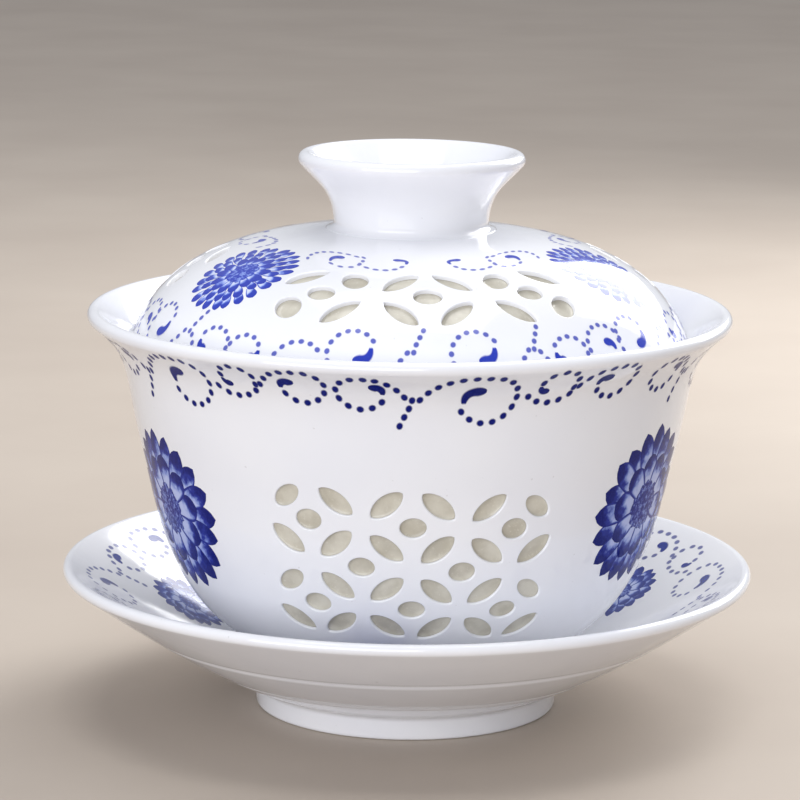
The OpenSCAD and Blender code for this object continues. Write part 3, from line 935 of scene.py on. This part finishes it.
class Nodes:
    """A material's node tree, with short names for the few node types used here."""

    def __init__(self, name):
        self.material = bpy.data.materials.new(name)
        self.material.use_nodes = True
        self.tree = self.material.node_tree
        self.tree.nodes.clear()
        self.shader = self.add("ShaderNodeBsdfPrincipled")
        output = self.add("ShaderNodeOutputMaterial")
        self.tree.links.new(self.shader.outputs[0], output.inputs["Surface"])
        self.place = self.add("ShaderNodeTexCoord").outputs["Object"]

    def add(self, kind, **settings):
        node = self.tree.nodes.new(kind)
        for key, value in settings.items():
            setattr(node, key, value)
        return node

    def put(self, socket, value):
        """A socket takes a number, a colour, or another node's output."""
        if isinstance(value, bpy.types.NodeSocket):
            self.tree.links.new(value, socket)
        elif isinstance(value, tuple) and len(value) == 3 and socket.type == "RGBA":
            socket.default_value = (*value, 1.0)
        else:
            socket.default_value = value

    def noise(self, scale, detail=2.0, roughness=0.5):
        node = self.add("ShaderNodeTexNoise")
        self.put(node.inputs["Vector"], self.place)
        self.put(node.inputs["Scale"], scale)
        self.put(node.inputs["Detail"], detail)
        self.put(node.inputs["Roughness"], roughness)
        return node.outputs["Fac"]

    def math(self, operation, a, b=0.0):
        node = self.add("ShaderNodeMath", operation=operation)
        self.put(node.inputs[0], a)
        self.put(node.inputs[1], b)
        return node.outputs[0]

    def ramp(self, value, start, end, low=0.0, high=1.0, smooth=True):
        kind = "SMOOTHSTEP" if smooth else "LINEAR"
        node = self.add("ShaderNodeMapRange", interpolation_type=kind)
        for k, v in enumerate((value, start, end, low, high)):
            self.put(node.inputs[k], v)
        return node.outputs[0]

    def mix(self, share, a, b):
        node = self.add("ShaderNodeMix", data_type="RGBA")
        self.put(node.inputs[0], share)
        self.put(node.inputs[6], a)
        self.put(node.inputs[7], b)
        return node.outputs[2]

    def colours(self, value, stops):
        node = self.add("ShaderNodeValToRGB")
        self.put(node.inputs[0], value)
        elements = node.color_ramp.elements
        elements[0].position, elements[1].position = stops[0][0], stops[-1][0]
        elements[0].color, elements[1].color = (*stops[0][1], 1), (*stops[-1][1], 1)
        for position, colour in stops[1:-1]:
            elements.new(position).color = (*colour, 1)
        return node.outputs[0]

    def bump(self, height, distance):
        node = self.add("ShaderNodeBump")
        self.put(node.inputs["Distance"], distance)
        self.put(node.inputs["Height"], height)
        self.put(self.shader.inputs["Normal"], node.outputs[0])

    def set(self, **values):
        for key, value in values.items():
            self.put(self.shader.inputs[key.replace("_", " ")], value)


def glaze_over_clay(nodes, ior=1.5, coat=0.25):
    """Bluish white porcelain under glossy glaze. Returns its colour."""
    cloud = nodes.noise(45, 3)
    white = nodes.mix(nodes.ramp(cloud, 0.3, 0.7), (0.835, 0.845, 0.89), (0.865, 0.872, 0.905))
    speck = nodes.ramp(nodes.noise(1500, 0), 0.86, 0.90)
    colour = nodes.mix(nodes.math("MULTIPLY", speck, 0.25), white, (0.42, 0.40, 0.40))
    nodes.set(Roughness=nodes.ramp(nodes.noise(220, 2), 0.3, 0.7, 0.07, 0.12, smooth=False))
    fine_peel = nodes.math("MULTIPLY", nodes.noise(420, 1), 0.12)
    nodes.bump(nodes.math("ADD", nodes.noise(95, 1), fine_peel), 0.00008)
    nodes.set(IOR=ior, Coat_Weight=coat, Coat_Roughness=0.03)
    return colour


def porcelain():
    nodes = Nodes("porcelain_glazed")
    nodes.set(Base_Color=glaze_over_clay(nodes))
    return nodes.material


def bare_clay():
    """The unglazed foot rings: matt, slightly warm, with fine grit."""
    nodes = Nodes("porcelain_unglazed")
    grit = nodes.noise(1800, 4, 0.65)
    nodes.set(Base_Color=nodes.colours(grit, [(0.3, (0.62, 0.60, 0.56)), (0.7, (0.80, 0.79, 0.76))]),
              Roughness=nodes.ramp(grit, 0.3, 0.7, 0.75, 0.9))
    nodes.bump(grit, 0.00006)
    return nodes.material


def cobalt_paint(name, washes, outlined, shaded_from, ior):
    """Cobalt under the glaze: shaded petals with dark outlines, dots and commas.

    The bowl's index of refraction is set low to stand in for the photo's dark surroundings.
    """
    nodes = Nodes(name)
    white = glaze_over_clay(nodes, ior, 0.0)
    mark = nodes.add("ShaderNodeAttribute", attribute_name="mark")
    parts = nodes.add("ShaderNodeSeparateXYZ")
    nodes.put(parts.inputs[0], mark.outputs["Vector"])
    ink, along_petal, across = parts.outputs
    wash, grain = nodes.noise(700, 2), nodes.noise(2600, 2, 0.6)
    outline = nodes.ramp(nodes.math("ABSOLUTE", across), 0.62, 0.92)
    worn = nodes.math("ADD", nodes.math("MULTIPLY", wash, 0.5), -0.25)
    leaning = nodes.math("ADD", along_petal, nodes.math("MULTIPLY", across, 0.12))
    tip = nodes.ramp(nodes.math("ADD", leaning, worn), shaded_from, shaded_from + 0.44)
    depth = nodes.math("MAXIMUM", nodes.math("MULTIPLY", outline, outlined), tip)
    speckled = nodes.math("MULTIPLY", depth, nodes.ramp(grain, 0.25, 0.75, 0.84, 1.1, smooth=False))
    stippled = nodes.ramp(nodes.noise(1500, 3, 0.7), 0.36, 0.62, 0.32, 0.92)
    in_heart = nodes.math("GREATER_THAN", along_petal, 1.5)
    blend = nodes.add("ShaderNodeMix", data_type="FLOAT")
    for socket, value in zip((0, 2, 3), (in_heart, speckled, stippled)):
        nodes.put(blend.inputs[socket], value)
    pigment = nodes.colours(blend.outputs[0], list(zip((0.0, 0.3, 0.6, 1.0), washes)))
    nodes.set(Base_Color=nodes.mix(nodes.ramp(ink, 0.05, 1.0, smooth=False), white, pigment))
    return nodes.material


def pane_glaze():
    """Clear glaze filling the piercings: greyish beige, glossy, a little cloudy; its paler cloudy
    patches are partly a painted reflection of light streaking across the panes.
    """
    nodes = Nodes("glaze_panes")
    cloud, bubble = nodes.noise(260, 3), nodes.noise(2600, 1)
    # paler patches: partly cloudiness in the glaze, partly painted reflection standing in for light
    # streaks over the panes
    body = nodes.mix(nodes.ramp(cloud, 0.3, 0.7), (0.48, 0.447, 0.365), (0.63, 0.60, 0.51))
    nodes.set(Base_Color=nodes.mix(nodes.ramp(bubble, 0.62, 0.75, 0, 0.35), body, (0.7, 0.68, 0.6)),
              Roughness=nodes.ramp(cloud, 0.3, 0.7, 0.06, 0.14))
    nodes.set(IOR=1.5)
    nodes.bump(nodes.noise(300, 1), 0.00013)
    return nodes.material


def pale_floor():
    nodes = Nodes("pale_floor")
    nodes.set(Base_Color=nodes.colours(nodes.noise(14, 5), [(0.3, (0.46, 0.395, 0.335)),
                                                           (0.7, (0.50, 0.435, 0.370))]),
              Roughness=0.75)
    return nodes.material


# ---- stage ----


def make_floor():
    mesh = bpy.data.meshes.new("floor")
    far = 4.0
    mesh.from_pydata([(-far, -far, 0), (far, -far, 0), (far, far, 0), (-far, far, 0)], [],
                     [(0, 1, 2, 3)])
    mesh.materials.append(pale_floor())
    floor = bpy.data.objects.new("floor", mesh)
    bpy.context.scene.collection.objects.link(floor)


def area_light(name, place, target, width, height, watts, colour=(1, 1, 1)):
    light = bpy.data.lights.new(name, "AREA")
    light.shape, light.size, light.size_y = "RECTANGLE", width, height
    light.energy, light.color = watts, colour
    lamp = bpy.data.objects.new(name, light)
    lamp.location = place
    lamp.rotation_euler = (Vector(target) - Vector(place)).to_track_quat("-Z", "Y").to_euler()
    lamp.visible_camera = False
    bpy.context.scene.collection.objects.link(lamp)


def make_lights():
    aim = (0, 0, 0.05)
    area_light("window_behind", (0.293, 0.375, 0.325), (0, 0, 0.06), 0.40, 0.38, 2.5)
    cool = (0.955, 0.965, 1.0)
    area_light("front_fill", (-0.55, -1.3, 0.37), aim, 1.5, 0.8, 13.8, cool)
    area_light("overhead", (0, 0.1, 1.3), aim, 0.9, 0.9, 7.5)
    world = bpy.data.worlds.new("studio")
    world.use_nodes = True
    background = world.node_tree.nodes["Background"]
    background.inputs["Color"].default_value = (0.92, 0.94, 1.0, 1)
    background.inputs["Strength"].default_value = 0.50
    bpy.context.scene.world = world
    bpy.context.scene.view_settings.view_transform = "Standard"


def make_camera():
    """The camera looks slightly down at the front of the bowl, as fitted to the photo's rims."""
    distance, elevation, roll = 0.57604, math.radians(10.833), math.radians(0.687)
    target = Vector((-0.00142, 0, 0.049278))
    back = Vector((0, -math.cos(elevation), math.sin(elevation)))
    camera = bpy.data.objects.new("camera", bpy.data.cameras.new("camera"))
    camera.data.sensor_width, camera.data.lens = 36, 162.815
    right = Vector((math.cos(roll), 0, 0)) + math.sin(roll) * back.cross(Vector((1, 0, 0)))
    up = back.cross(right)
    turned = Matrix((right, up, back)).transposed().to_4x4()
    camera.matrix_world = Matrix.Translation(target + back * distance) @ turned
    camera.data.clip_start, camera.data.clip_end = 0.05, 20
    bpy.context.scene.collection.objects.link(camera)
    bpy.context.scene.camera = camera


# the pigment from its thinnest wash to its deepest
NAVY = ((0.46, 0.52, 0.80), (0.20, 0.27, 0.62), (0.022, 0.036, 0.30), (0.005, 0.009, 0.145))
SOFT_BLUE = ((0.52, 0.59, 0.85), (0.23, 0.31, 0.69), (0.035, 0.065, 0.37), (0.012, 0.028, 0.24))
COBALT = ((0.62, 0.69, 0.92), (0.24, 0.34, 0.80), (0.030, 0.065, 0.50), (0.014, 0.036, 0.42))

glazed, bare, pane = porcelain(), bare_clay(), pane_glaze()
navy = cobalt_paint("cobalt_deep", NAVY, 0.8, 0.40, 1.18)
soft = cobalt_paint("cobalt_soft", SOFT_BLUE, 0.8, 0.40, 1.5)
cobalt = cobalt_paint("cobalt_bright", COBALT, 0.6, 0.25, 1.5)
make_camera()
make_saucer(glazed, bare)
make_bowl(glazed, bare, pane)
make_lid(glazed, pane)
make_knob(glazed)
paint_saucer(soft)
paint_bowl(navy)
paint_lid(cobalt)
make_floor()
make_lights()
